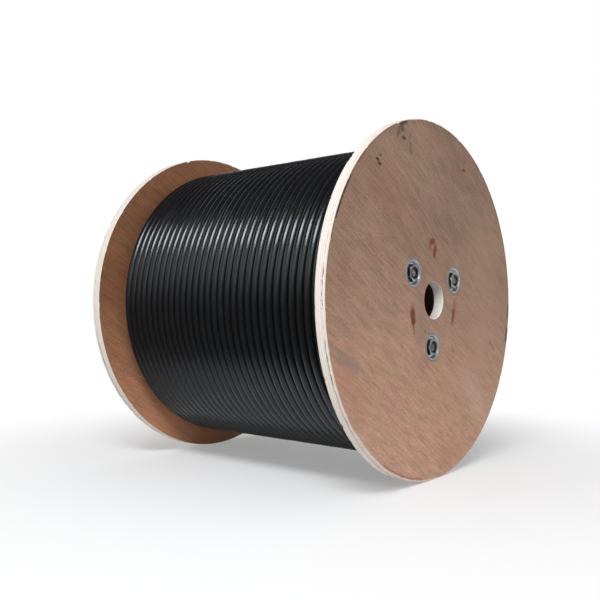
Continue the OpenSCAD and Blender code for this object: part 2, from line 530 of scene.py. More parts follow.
def veneer(name, tones, painted_light_reach, marks, cut):
    """Rotary-cut face veneer: mottled and marked, with fine slanting grain, and its lower part painted
    paler as painted light from below.
    """
    g = Graph(name)
    x, _, z = g.split(g.from_axis())
    flat = g.joined(x, z=z)
    grain = g.mapped(g.mapped(flat, rotation=(0, GRAIN_TURN, 0)), offset=(cut, cut, cut))
    cloud = g.streaks(grain, (7, 1, 16), 3, 0.6, 0.4)
    hue = g.streaks(grain, (24, 1, 60), 3, 0.6, offset=(5, 0, 5))
    mottle = g.streaks(grain, (36, 1, 130), 3, 0.6, 0.3)
    fibre = g.streaks(grain, (26, 1, 460), 4, 0.65, 0.2)
    pore = g.streaks(grain, (40, 1, 800), 2, 0.5)
    speck = g.noise(flat, 430.0, 2, 0.6)

    dark, light, low = tones
    tint = g.mix(g.ramp(hue, 0.35, 0.65), PINKISH, OLIVE)
    colour = g.mix(g.ramp(cloud, 0.3, 0.7), dark, light)
    # The lower part is painted paler: painted light, as if lit from the floor below
    colour = g.mix(g.ramp(z, *painted_light_reach, 0.0, PAINTED_LIGHT_STRENGTH), colour, low)
    colour = g.mix(HUE_STRENGTH, colour, tint, "SOFT_LIGHT")

    shade = g.ramp(pore, 0.32, 0.42, 1 + PORE_SHADE, 1.0)
    for layer, span in ((mottle, MOTTLE_SHADE), (fibre, FIBRE_SHADE), (speck, SPECK_SHADE)):
        shade = g.math("ADD", shade, g.ramp(layer, 0.3, 0.7, *span))
    grey = g.add("ShaderNodeCombineColor", {0: shade, 1: shade, 2: shade}).outputs[0]
    colour = g.mix(1.0, colour, grey, "MULTIPLY")
    colour = draw_marks(g, colour, flat, g.ramp(fibre, 0.2, 0.6, 0.55, 1.0), marks)

    height = g.math("ADD", g.math("MULTIPLY", fibre, 0.6), g.math("MULTIPLY", pore, 0.4))
    return g.finish(Base_Color=colour, Roughness=g.ramp(mottle, 0.2, 0.8, 0.62, 0.78),
                    Specular_IOR_Level=0.3, Normal=g.bump(height, 0.12 * MM, strength=0.6))


# Plies, with depths through a flange counted from 0 on its inner face to 1 on its outer one
PLIES = 9
PLY_DRIFT = (-0.18, 0.18)
FACE_PLY = (0.86, 0.97)
# Depths between which the core ply with gaps wanders, and half widths of its gaps and its stain
CORE_DEPTH = (0.67, 0.75)
GAP_HALF = (0.08, 0.03)
STAIN_HALF = (0.12, 0.04)
# Strength of the painted shade in the gaps
GAP_SHADE_STRENGTH = 0.8
# Stretches of the front flange's rim where that ply is missing: middle, half width and ends, in degrees
CORE_GAPS = ((177, 5), (196, 4))
GAP_END = 2
# Distances from the axis between which the arbor hole's painted light and shade come in, and the painted
# light's strength
HOLE_REACH = (ARBOR_R * 1.5, ARBOR_R * 1.1)
HOLE_PAINTED_LIGHT_STRENGTH = 0.7
# Heights between which painted shade darkens the hole's wall towards its top, and its strength
HOLE_SHADE_REACH = (-ARBOR_R * 0.2, ARBOR_R * 0.9)
HOLE_SHADE_STRENGTH = 0.5


def core_gaps(g, round_rim, depth, y, z):
    """Masks of the gaps in one core ply, and of the soft stain along it that is stronger low down."""
    drift = g.streaks(round_rim, (22, 0.3, 22), 2, offset=(1, 0, 4))
    middle_depth = g.ramp(drift, 0.3, 0.7, *CORE_DEPTH)
    away = g.math("ABSOLUTE", g.math("SUBTRACT", depth, middle_depth))
    stain = g.math("ADD", g.ramp(drift, 0.4, 0.7, 0.0, 0.25), g.ramp(z, 0.0, -RIM_R * 0.6, 0.0, 0.3))
    stain = g.math("MULTIPLY", stain, g.ramp(away, *STAIN_HALF))

    place = g.ramp(g.streaks(round_rim, (4, 0.3, 4), 2, offset=(7, 0, 2)), 0.52, 0.64)
    front = g.ramp(y, INNER_Y / 2, -INNER_Y / 2)
    for middle_deg, half_deg in CORE_GAPS:
        middle = math.radians(middle_deg)
        alike = g.vector_math("DOT_PRODUCT", round_rim, (math.cos(middle), 0, math.sin(middle)), "Value")
        ends = (math.cos(math.radians(half_deg + GAP_END)), math.cos(math.radians(half_deg)))
        place = g.math("MAXIMUM", place, g.math("MULTIPLY", g.ramp(alike, *ends), front))
    ragged = g.ramp(g.streaks(round_rim, (34, 3, 34), 4, 0.75), 0.42, 0.60)
    gap = g.math("MULTIPLY", g.math("MULTIPLY", g.ramp(away, *GAP_HALF), ragged), place)
    return gap, stain


def ply_edge():
    """Sawn edge of the plywood: pale plies with thin glue lines, core gaps and saw fuzz. In the arbor
    hole it is painted paler as painted light, and darker towards the hole's top as painted shade."""
    g = Graph("plywood_edge")
    x, y, z = g.split(g.from_axis())
    ends = {"Value": g.math("ABSOLUTE", y), "From Min": INNER_Y, "From Max": FACE_Y}
    depth = g.add("ShaderNodeMapRange", ends).outputs[0]
    turn = g.math("ARCTAN2", z, x)
    round_rim = g.joined(g.math("COSINE", turn), depth, g.math("SINE", turn))

    drift = g.ramp(g.streaks(round_rim, (9, 0.5, 9), 2), 0.2, 0.8, *PLY_DRIFT)
    ply = g.math("ADD", g.math("MULTIPLY", depth, PLIES), drift)
    across = g.math("PINGPONG", ply, 1.0)
    streak = g.streaks(round_rim, (26, 9, 26), 3, 0.6)
    end_grain = g.streaks(round_rim, (420, 10, 420), 3, 0.7)
    colour = g.mix(g.ramp(across, 0.35, 0.65), EDGE_CREAM, EDGE_TAN)
    colour = g.mix(g.ramp(streak, 0.45, 0.8, 0.0, 0.6), colour, EDGE_TAN)
    colour = g.mix(g.ramp(depth, *FACE_PLY, 0.0, 0.7), colour, EDGE_PINK)
    colour = g.mix(g.ramp(end_grain, 0.50, 0.75, 0.0, 0.22), colour, GLUE)

    line = g.ramp(g.math("ABSOLUTE", g.math("SUBTRACT", across, 0.5)), 0.10, 0.0)
    broken = g.ramp(g.streaks(round_rim, (16, 7, 16), 2, offset=(3, 0, 0)), 0.5, 0.75, 0.0, 0.3)
    colour = g.mix(g.math("MULTIPLY", line, broken), colour, GLUE)
    gap, stain = core_gaps(g, round_rim, depth, y, z)
    colour = g.mix(stain, colour, GLUE)

    in_hole = g.ramp(g.length(x, z), *HOLE_REACH)
    hole_shade = g.math("MULTIPLY", in_hole, g.ramp(z, *HOLE_SHADE_REACH, 0.0, HOLE_SHADE_STRENGTH))
    # In the arbor hole: painted light on its wall, and painted shade towards its top
    colour = g.mix(g.math("MULTIPLY", in_hole, HOLE_PAINTED_LIGHT_STRENGTH), colour, HOLE_PAINTED_LIGHT)
    colour = g.mix(hole_shade, colour, HOLE_PAINTED_SHADE)
    # The core gaps are painted dark in the soot colour, as painted shade in their voids
    colour = g.mix(g.math("MULTIPLY", gap, GAP_SHADE_STRENGTH), colour, SOOT)

    height = g.math("SUBTRACT", g.math("MULTIPLY", end_grain, 0.5), gap)
    return g.finish(Base_Color=colour, Roughness=0.8, Specular_IOR_Level=0.25,
                    Normal=g.bump(height, 0.25 * MM, strength=0.7))


# Specular level of the jacket in the grooves between its turns, and on top of the turns: lowered in the
# grooves as painted shade
JACKET_GLOSS_AND_GROOVE_SHADE = (0.2, 0.5)
# Levels of noise at which rust starts, and the share of the metal it covers
RUST_START = (0.66, 0.76)
RUST_COVER = 0.8
# Roughness of the zinc, and what it gains where the plate has no shine
ZINC_ROUGH = (0.36, 0.5)
WEAR_ROUGH = 0.25
# Turns of the fibre tube's spiral in a metre, and its seam's share of a turn
TUBE_TURNS = 9.0
SEAM_SHARE = 0.02


def cable_jacket():
    """Black plastic jacket: smooth and satin, with faint dust and rubbed streaks along the turns. Its
    gloss is lowered in the grooves between them as painted shade."""
    g = Graph("cable_jacket")
    spot = g.coords()
    x, _, z = g.split(g.from_axis())
    groove_r = layer_r(TOP_LAYER)
    # Painted shade: less gloss in the grooves between turns, where the turns shade each other
    gloss_and_groove_shade = g.ramp(g.length(x, z), groove_r, groove_r + CABLE_R * 0.7, *JACKET_GLOSS_AND_GROOVE_SHADE)
    dust = g.noise(spot, 38.0, 4, 0.6, 0.4)
    rub = g.streaks(spot, (30, 260, 30), 3, 0.6)
    fine = g.noise(spot, 900.0, 2)
    colour = g.mix(g.ramp(dust, 0.5, 0.85, 0.0, 0.35), *JACKET_TONES)
    rough = g.math("ADD", g.ramp(rub, 0.3, 0.7, 0.17, 0.25), g.ramp(dust, 0.5, 0.8, 0.0, 0.08))
    # The bluish tint of the gloss is painted light, standing in for bluish light in its reflections
    return g.finish(Base_Color=colour, Roughness=rough, Specular_IOR_Level=gloss_and_groove_shade,
                    Specular_Tint=JACKET_LIGHT_TINT, Normal=g.bump(fine, 0.03 * MM, strength=0.3))


def zinc(name, tones, rust_amount, shine=1.0):
    """Zinc-plated steel: cloudy, with rust starting in patches. Plate with less shine is less metallic
    and rougher.
    """
    g = Graph(name)
    spot = g.coords()
    cloud = g.noise(spot, 160.0, 3, 0.6)
    fine = g.noise(spot, 1400.0, 2)
    patch = g.noise(spot, 230.0, 4, 0.7)
    start, end = RUST_START
    rust = g.math("MULTIPLY", g.ramp(patch, start - rust_amount, end - rust_amount), RUST_COVER)
    colour = g.mix(rust, g.mix(g.ramp(cloud, 0.3, 0.7), *tones), RUST)
    metal = g.math("SUBTRACT", shine, g.math("MULTIPLY", rust, shine))
    rough = g.ramp(cloud, 0.2, 0.8, *(level + WEAR_ROUGH * (1 - shine) for level in ZINC_ROUGH))
    return g.finish(Base_Color=colour, Metallic=metal, Roughness=rough,
                    Normal=g.bump(fine, 0.05 * MM, strength=0.35))


def fibre_board():
    """Brown spiral-wound fibre tube."""
    g = Graph("fibre_tube")
    x, y, z = g.split(g.from_axis())
    turn = g.math("DIVIDE", g.math("ARCTAN2", z, x), FULL_TURN)
    wind = g.math("ADD", g.math("MULTIPLY", y, TUBE_TURNS), turn)
    seam = g.ramp(g.math("PINGPONG", wind, 0.5), 0.0, SEAM_SHARE)
    pulp = g.noise(g.coords(), 240.0, 4, 0.6)
    colour = g.mix(seam, TUBE_SEAM, g.mix(g.ramp(pulp, 0.3, 0.7), *TUBE_TONES))
    return g.finish(Base_Color=colour, Roughness=0.85, Normal=g.bump(pulp, 0.1 * MM, strength=0.5))


# Flanges

RIM_COUNT = 720
RIM_ROWS = 16
ARRIS_STEPS = 3
GROOVE_COUNT = RIM_COUNT // 4
HOLE_COUNT = 64
ARBOR_COUNT = 96
ARBOR_EASE = 0.4 * MM
# Grid of points on a face, how far it stays from the rim, and closer rings there with their counts
FACE_STEP = 7 * MM
FACE_INSET = 10 * MM
CLOSE_RINGS = ((2 * MM, RIM_COUNT // 2), (5 * MM, RIM_COUNT // 4))
# Hollows of the outer face: depth, and rate in a metre
FACE_WAVE = 0.12 * MM
WAVE_RATE = 14
# Relief of the sawn rim: every other ply lies lower, each is uneven, and less of it is left at an arris
PLY_STEP = 0.06 * MM
PLY_ROUGH = 0.05 * MM
ROUGH_RATE = 30
ROUGH_ROW = 5.1
ARRIS_SHARE = 0.4
# Chips of the arrises: half width, bite, and the share of the thickness they run in
CHIPS = 60
CHIP_HALF = (1.2 * MM, 3.5 * MM)
CHIP_BITE = (0.2 * MM, 0.9 * MM)
CHIP_REACH = 1 / 6


def face_spots():
    """Even triangular grid over the face, with closer rings next to the rim."""
    spots = []
    rows = int(RIM_R / FACE_STEP) + 1
    for row in range(-rows, rows + 1):
        for column in range(-rows, rows + 1):
            x = (column + row % 2 / 2) * FACE_STEP
            z = row * FACE_STEP * math.sin(math.pi / 3)
            if math.hypot(x, z) < RIM_R - FACE_INSET:
                spots.append((x, z))
    for inset, count in CLOSE_RINGS:
        spots.extend(circle(MIDDLE, RIM_R - inset, count))
    return spots


def chip_list(seed):
    """Angle, half width, bite and end of small chips broken from the rim's arrises."""
    rng = np.random.default_rng(seed)
    return [(rng.uniform(0, FULL_TURN), rng.uniform(*CHIP_HALF) / RIM_R, rng.uniform(*CHIP_BITE),
             rng.choice((-1, 1))) for _ in range(CHIPS)]


def rim_profile():
    """Radius insets and heights from the outer arris to the inner one, with rounded arrises."""
    arc = [math.pi / 2 * i / ARRIS_STEPS for i in range(ARRIS_STEPS + 1)]
    upper = [(RIM_BEVEL * (1 - math.sin(t)), -RIM_BEVEL * (1 - math.cos(t))) for t in arc]
    lower = [(inset, -FLANGE_T - height) for inset, height in reversed(upper)]
    body = [(0, -RIM_BEVEL - (FLANGE_T - 2 * RIM_BEVEL) * i / RIM_ROWS) for i in range(1, RIM_ROWS)]
    return upper + body + lower


def rim_flat(inset, height, chips, seed):
    """One ring of the sawn rim: plies stand a little differently, and chips bite into its arrises."""
    depth = -height / FLANGE_T
    ply = math.floor(depth * PLIES)
    share = smooth(min(depth, 1 - depth) * PLIES * 2 + ARRIS_SHARE)
    points = []
    for i in range(RIM_COUNT):
        angle = FULL_TURN * i / RIM_COUNT
        rough = PLY_ROUGH * wobble(angle, seed + ply * ROUGH_ROW, ROUGH_RATE)
        relief = share * (rough + PLY_STEP * (ply % 2))
        for chip_angle, half_width, bite, end in chips:
            away = math.remainder(angle - chip_angle, FULL_TURN) / half_width
            near_end = depth if end > 0 else 1 - depth
            if abs(away) < 1:
                relief += bite * (1 - away * away) * max(0.0, 1 - near_end / CHIP_REACH)
        points.append(spoke(MIDDLE, RIM_R - inset - relief, angle))
    return points


def flange(name, side, materials, seed):
    """A plywood disc with its sawn rim, arbor hole, washer seats, bolt holes and barrel groove."""
    outer_face, inner_face, edge = range(3)
    shell = Shell()
    chips = chip_list(seed)

    rims = [(rim_flat(inset, height, chips, seed), height) for inset, height in rim_profile()]
    rim_rings = [flat_ring(shell, side, flat, height) for flat, height in rims]
    shell.bridge_all(rim_rings, edge)

    ease_r = ARBOR_R + ARBOR_EASE
    arbor = [(ease_r, 0), (ARBOR_R, -ARBOR_EASE), (ARBOR_R, -FLANGE_T / 2),
             (ARBOR_R, ARBOR_EASE - FLANGE_T), (ease_r, -FLANGE_T)]
    arbor_out, arbor_in = turned(shell, side, MIDDLE, arbor, ARBOR_COUNT, edge)

    seat = [(WASHER_R + SEAT_FIT, 0), (WASHER_R + SEAT_FIT, LIP_BOTTOM),
            (LIP_R + BEND_SHIFT + SEAT_FIT, LIP_BOTTOM), (DISH_R + BEND_SHIFT + SEAT_FIT, DISH_BOTTOM),
            (BOLT_HOLE_R, DISH_BOTTOM), (BOLT_HOLE_R, -FLANGE_T)]
    outer_holes = [arbor_out]
    inner_holes = [arbor_in]
    for number in RODS:
        seat_out, seat_in = turned(shell, side, rod_centre(number), seat, HOLE_COUNT, edge)
        outer_holes.append(seat_out)
        inner_holes.append(seat_in)

    groove_out = BARREL_R + BARREL_FIT
    groove_in = BARREL_R - BARREL_WALL - BARREL_FIT
    groove_floor = GROOVE_DEPTH - FLANGE_T
    groove = [(groove_out, -FLANGE_T), (groove_out, groove_floor),
              (groove_in, groove_floor), (groove_in, -FLANGE_T)]
    out_loop, in_loop = turned(shell, side, MIDDLE, groove, GROOVE_COUNT, edge)

    def outer_place(x, z):
        lift = FACE_WAVE * noise.noise(Vector((x * WAVE_RATE, z * WAVE_RATE, seed)))
        return on_face(side, x, z, min(lift, 0))

    def inner_place(x, z):
        return on_face(side, x, z, -FLANGE_T)

    spots = face_spots()
    shell.fill((rim_rings[0], rims[0][0]), outer_holes, spots, outer_place, outer_face)
    shell.fill((rim_rings[-1], rims[-1][0]), [out_loop], spots, inner_place, inner_face)
    shell.fill(in_loop, inner_holes, spots, inner_place, inner_face)
    obj = shell.piece(name, materials)
    return obj


# Cable

LAP_STEPS = 120
CABLE_SIDES = 14
# Radius of the swept cable, a little less than its room
CABLE_SHOWN_R = 5.0 * MM
# Room of the top layer's first turn beside the front flange
TOP_ROOM = 5 * MM
# Share of a lap in which the cable crosses to the next one, its rise there, and where laps start
CROSSING = 0.14
CROSSING_LIFT = 1.2 * MM
LAP_START = math.radians(10)
# How turns stray: reach, change from turn to turn, first row of the noise, and rate round the drum
SLOW_SWAY = (0.30 * MM, 0.22, 0, 1.6)
QUICK_SWAY = (0.06 * MM, 1.7, 40, 2.5)
LIFT = (0.22 * MM, 1.3, 90, 2.0)
# Turned core: points round it, arc of each turn on its ends, and room behind the swept turns
CORE_COUNT = 96
CORE_ARC = [math.radians(degrees) for degrees in range(-60, 61, 20)]
CORE_ROOM = 0.3 * MM


def layer_r(layer):
    return BARREL_R + WINDING_FIT + CABLE_R + layer * LAYER_RISE


def layer_shift(layer):
    """Every other layer lies half a turn along, in the grooves of the one below."""
    return (TOP_LAYER - layer) % 2 * TURN_PITCH / 2


def last_turn(layer):
    """Number of a layer's turn beside the rear flange, counted from 0 at the front one."""
    room = max(WINDING_FIT, REAR_ROOM - (TOP_LAYER - layer) * TURN_PITCH / 2)
    length = 2 * INNER_Y - WINDING_FIT - room - 2 * CABLE_R - layer_shift(layer)
    return math.floor(length / TURN_PITCH)


def lap(layer, turn):
    """Radius and place along the axis of one turn, counted from the front flange."""
    return layer_r(layer), -INNER_Y + WINDING_FIT + CABLE_R + layer_shift(layer) + turn * TURN_PITCH


def top_lap(turn):
    """A turn of the top layer, which stands off the front flange with its turns drawn together."""
    r, y = lap(TOP_LAYER, turn)
    return r, y + TOP_ROOM * (1 - turn / last_turn(TOP_LAYER))


def rear_laps(layer):
    """The last two turns of a layer, beside the rear flange."""
    last = last_turn(layer)
    return [lap(layer, last - 1), lap(layer, last)]


def stray(angle, row, reach, change, first, rate):
    return reach * wobble(angle, row * change + first, rate)


def lay(laps):
    """Centre line of cable that follows the laps and crosses to the next one at the end of each."""
    line = []
    for number, ((r, y), (next_r, next_y)) in enumerate(zip(laps, laps[1:])):
        for step in range(LAP_STEPS):
            share = step / LAP_STEPS
            over = smooth((share - 1 + CROSSING) / CROSSING)
            angle = LAP_START + FULL_TURN * share
            row = (y + (next_y - y) * over) / TURN_PITCH
            sway = stray(angle, row, *SLOW_SWAY) + stray(angle, row, *QUICK_SWAY)
            lift = stray(angle, row, *LIFT)
            lift += CROSSING_LIFT * math.sin(math.pi * over) * (r == next_r)
            line.append((angle + FULL_TURN * number, r + (next_r - r) * over + lift,
                         y + (next_y - y) * over + sway))
    return line


def tube(shell, line):
    """Round cable along a centre line of angles, radii and places along the axis."""
    rings = []
    for angle, r, y in line:
        points = []
        for i in range(CABLE_SIDES):
            t = FULL_TURN * i / CABLE_SIDES
            reach, along = spoke((r, y), CABLE_SHOWN_R, t)
            x, z = spoke(MIDDLE, reach, angle)
            points.append((x, along, AXIS_Z + z))
        rings.append(shell.ring(points))
    shell.bridge_all(rings)
    shell.face(reversed(rings[0]))
    shell.face(rings[-1])


def winding_core(shell):
    """Turned body under the top layer, with the end turns of every layer showing on both ends."""
    profile = []
    for layer in range(TOP_LAYER):
        r, y = lap(layer, 0)
        profile.extend((r + CABLE_R * math.sin(t), y - CABLE_R * math.cos(t)) for t in CORE_ARC)
    for turn in (0, last_turn(TOP_LAYER)):
        profile.append(top_lap(turn))
    for layer in reversed(range(TOP_LAYER)):
        r, y = lap(layer, last_turn(layer))
        y -= CORE_ROOM
        profile.extend((r + CABLE_R * math.sin(t), y + CABLE_R * math.cos(t)) for t in reversed(CORE_ARC))
    bore_r = BARREL_R + WINDING_FIT
    profile.extend([(bore_r, profile[-1][1]), (bore_r, profile[0][1])])
    rings = []
    for r, y in profile:
        rings.append(shell.ring((x, y, AXIS_Z + z) for x, z in circle(MIDDLE, r, CORE_COUNT)))
    shell.bridge_all(rings + rings[:1])


def cable(material):
    """The wound cable: the whole top layer and the turns that show beside the rear flange, on a core."""
    shell = Shell()
    laps = rear_laps(TOP_LAYER - 1)
    laps += [top_lap(turn) for turn in range(last_turn(TOP_LAYER), -1, -1)]
    end_r, end_y = laps[-1]
    laps.append((end_r - 2 * CABLE_R, end_y - TOP_ROOM))
    tube(shell, lay(laps))
    tube(shell, lay(rear_laps(TOP_LAYER - 3) + rear_laps(TOP_LAYER - 2)[::-1]))
    winding_core(shell)
    obj = shell.piece("cable", [material], sharp_deg=60)
    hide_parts("cable_winding")


# Fasteners

WASHER_COUNT = 96
WASHER_ROWS = 10
WASHER_NICK = 0.3 * MM
NUT_COUNT = 72
# Nut: flat top as a share of its width, slope of the chamfer round it, eased foot and countersink
FLAT_SHARE = 0.86
CHAMFER_SLOPE = math.tan(math.radians(30))
NUT_EASE = 0.2 * MM
SINK_W = 0.6 * MM
SINK_H = 0.8 * MM
# Turn of the nuts in degrees, which differs from rod to rod
NUT_TURN = 11
NUT_TURN_STEP = 37
# Rod and its thread, with the rings in each pitch and the points in each ring
ROD_CHAMFER = 1 * MM
THREAD_FIT = 0.05 * MM
THREAD_PITCH = 1.5 * MM
THREAD_DEPTH = 0.55 * MM
THREAD_LENGTH = 12 * MM
THREAD_STEPS = 6
THREAD_COUNT = 36


def washer(number, end, materials):
    """Dished washer pressed from sheet, with a rounded bowl and a flat lip round it."""
    dish, lip = range(2)
    shell = Shell()
    steps = [i / WASHER_ROWS for i in range(WASHER_ROWS + 1)]
    rise = WASHER_RISE - DISH_TOP
    bend = [(DISH_R + (LIP_R - DISH_R) * s, DISH_TOP + rise * smooth(s)) for s in steps]
    hole_foot = (BOLT_HOLE_R, DISH_BOTTOM)
    inside = [hole_foot, (BOLT_HOLE_R, DISH_TOP - WASHER_NICK),
              (BOLT_HOLE_R + WASHER_NICK, DISH_TOP), *bend]
    outside = [bend[-1], (WASHER_R - WASHER_NICK, WASHER_RISE), (WASHER_R, WASHER_RISE - WASHER_NICK),
               (WASHER_R, LIP_BOTTOM), (LIP_R + BEND_SHIFT, LIP_BOTTOM),
               (DISH_R + BEND_SHIFT, DISH_BOTTOM), hole_foot]
    turned(shell, SIDES[end], rod_centre(number), inside, WASHER_COUNT, dish)
    turned(shell, SIDES[end], rod_centre(number), outside, WASHER_COUNT, lip)
    obj = shell.piece("washer_%s_%d_pressed" % (end, number), materials, sharp_deg=50)
    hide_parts("washer_%s_%d" % (end, number))


def nut(number, end, turn, materials):
    """Hexagon nut with its corners chamfered and its hole countersunk. The chamfer is given a brighter
    zinc.
    """
    plain, chamfer = range(2)
    shell = Shell()
    centre = rod_centre(number)
    flat_r = NUT_W / 2 * FLAT_SHARE
    thread_r = ROD_R + THREAD_FIT

    def hexagon(angle):
        return NUT_W / 2 / math.cos((angle % (math.pi / 3)) - math.pi / 6)

    def ring(radius_of, height_of):
        points = []
        for i in range(NUT_COUNT):
            angle = FULL_TURN * i / NUT_COUNT
            r = radius_of(angle)
            points.append(on_face(SIDES[end], *spoke(centre, r, angle + turn), height_of(r)))
        return shell.ring(points)

    rings = [
        ring(lambda a: thread_r, lambda r: DISH_TOP),
        ring(lambda a: thread_r, lambda r: NUT_TOP - SINK_H),
        ring(lambda a: thread_r + SINK_W, lambda r: NUT_TOP),
        ring(lambda a: flat_r, lambda r: NUT_TOP),
        ring(hexagon, lambda r: NUT_TOP - (r - flat_r) * CHAMFER_SLOPE),
        ring(hexagon, lambda r: DISH_TOP + NUT_EASE),
        ring(lambda a: hexagon(a) - NUT_EASE, lambda r: DISH_TOP),
    ]
    shell.bridge_all(rings[:4], plain)
    shell.bridge(rings[3], rings[4], chamfer)
    shell.bridge_all(rings[4:] + rings[:1], plain)
    obj = shell.piece("nut_%s_%d_hexagon" % (end, number), materials, sharp_deg=25)
    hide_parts("nut_%s_%d" % (end, number))


def tie_rod(number, material):
    """Rod with a cut thread at both ends, chamfered where it stops below the faces of its nuts."""
    shell = Shell()
    centre = rod_centre(number)
    half = FACE_Y + NUT_TOP - ROD_SINK
    steps = int(THREAD_LENGTH / THREAD_PITCH * THREAD_STEPS)
    places = [half - THREAD_LENGTH * i / steps for i in range(steps + 1)]
    places += [-y for y in reversed(places)]
    rings = []
    for y in places:
        inset = max(0.0, ROD_CHAMFER - (half - abs(y)))
        cut = smooth((abs(y) - half + THREAD_LENGTH) / THREAD_PITCH)
        points = []
        for i in range(THREAD_COUNT):
            angle = FULL_TURN * i / THREAD_COUNT
            wave = abs((y / THREAD_PITCH - i / THREAD_COUNT) % 1 * 2 - 1)
            r = ROD_R - cut * THREAD_DEPTH * wave - inset
            x, z = spoke(centre, r, angle)
            points.append((x, y, AXIS_Z + z))
        rings.append(shell.ring(points))
    shell.bridge_all(rings)
    shell.face(rings[0])
    shell.face(reversed(rings[-1]))
    obj = shell.piece("tie_rod_%d_threaded" % number, [material], sharp_deg=40)
    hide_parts("tie_rod_%d" % number)


# Stage

# Floor: its size, and the distances between which it runs out into white
FLOOR_R = 6.0
FLOOR_COUNT = 128
FLOOR_GREY = (0.92, 0.92, 0.92, 1)
FLOOR_FADE = (0.22, 0.62)
FLOOR_GLOW = (0.3, 1.0)
WORLD_FILL = 0.42
# Key lamp: above and beside the camera, and wide, so that it glints as a band across the turns
KEY_AZIMUTH = math.radians(206)
KEY_ELEVATION = math.radians(42)
KEY_ROLL = math.radians(-13.5)
KEY_AFAR = 1.6
KEY_SIZE = (0.95, 0.36)
KEY_POWER = 20
KEY_TINT = (0.95, 0.97, 1.0)
# Bowl of the dim room that the jacket mirrors: radii and heights, and its turn seen from above
BOWL = ((0.2, 0.004), (0.3, 0.005), (0.4, 0.007), (0.5, 0.01), (0.62, 0.1), (0.64, 0.3), (0.66, 0.5))
BOWL_TURN = (math.radians(45), math.radians(275))
BOWL_STEPS = 46
BOWL_DARK = 0.04
# It is paler at its foot, most of all towards the camera, and at its brim. Turns count from the left.
FOOT_REACH = (0.2, 0.42)
FOOT_PALE = 0.7
FOOT_TURN = (math.radians(-60), math.radians(35))
FOOT_LEVELS = (0.7, 1.4)
BRIM_REACH = (0.22, 0.46)
BRIM_PALE = 0.8
# A paler glow on the left leans towards the lamp as it rises
GLOW_HALF = math.radians(62)
GLOW_REACH = (0.14, 0.5)
GLOW_LEVELS = (0.22, 1.6)
LEAN_REACH = (0.2, 0.5)
LEAN = (math.radians(-3), math.radians(32))
# Mat under the drum, from the camera's side of the axis to behind it
MAT_HEIGHT = 0.003
MAT_END = 0.3
MAT_FADE = (-0.09, -0.03)
MAT_LEVELS = (0.33, 0.1)
# Dark card overhead
CARD_HEIGHT = 2.7
CARD_HALF = 3.5
CARD_GREY = (0.18, 0.18, 0.19, 1)
DRUM_CENTRE = Vector((0, 0, AXIS_Z))
# Camera, found from the outlines of the flanges and the winding: place from the centre, turn of its back
CAMERA_PLACE = Vector((-0.72625, -0.58593, -0.00878))
CAMERA_AZIMUTH = math.radians(-140.351)
CAMERA_ELEVATION = math.radians(-0.633)
FOCAL_PIXELS = 731.05
IMAGE_PIXELS = 600
SENSOR_WIDTH = 36


def direction(azimuth, elevation):
    """Unit vector at an angle round from the x axis and an angle above the floor."""
    flat = math.cos(elevation)
    return Vector((math.cos(azimuth) * flat, math.sin(azimuth) * flat, math.sin(elevation)))


def seen_rays(tree):
    """1 for rays that show the background: from the camera, a reflection or through glass."""
    path = tree.nodes.new("ShaderNodeLightPath")
    total = path.outputs["Is Camera Ray"]
    for name in ("Is Glossy Ray", "Is Transmission Ray"):
        larger = tree.nodes.new("ShaderNodeMath")
        larger.operation = "MAXIMUM"
        tree.links.new(total, larger.inputs[0])
        tree.links.new(path.outputs[name], larger.inputs[1])
        total = larger.outputs[0]
    return total


def floor():
    """Pale floor that takes the drum's shadow and runs out into the white background."""
    shell = Shell()
    shell.face(shell.ring((x, y, 0) for x, y in circle(MIDDLE, FLOOR_R, FLOOR_COUNT)))
    g = Graph("floor")
    far = g.ramp(g.vector_math("LENGTH", g.coords(), out="Value"), *FLOOR_FADE, *FLOOR_GLOW)
    far = g.math("MULTIPLY", far, seen_rays(g.tree))
    both = g.add("ShaderNodeMixShader", {0: far, 1: g.shader.outputs[0], 2: g.emission(1.0)})
    g.finish(Base_Color=FLOOR_GREY, Roughness=0.9, Specular_IOR_Level=0.0)
    obj = shell.object("floor", [g.show(both.outputs[0])])


def reflector(name, shell, material):
    """Adds a stage surface that only reflections see, and that throws no shade."""
    obj = shell.object(name, [material])
    obj.visible_camera = False
    obj.visible_diffuse = False
    obj.visible_shadow = False


def sheet(x_ends, y_ends, height):
    """Level rectangle at a height above the floor."""
    shell = Shell()
    (x0, x1), (y0, y1) = x_ends, y_ends
    shell.face(shell.ring((x, y, height) for x, y in ((x0, y0), (x1, y0), (x1, y1), (x0, y1))))
    return shell


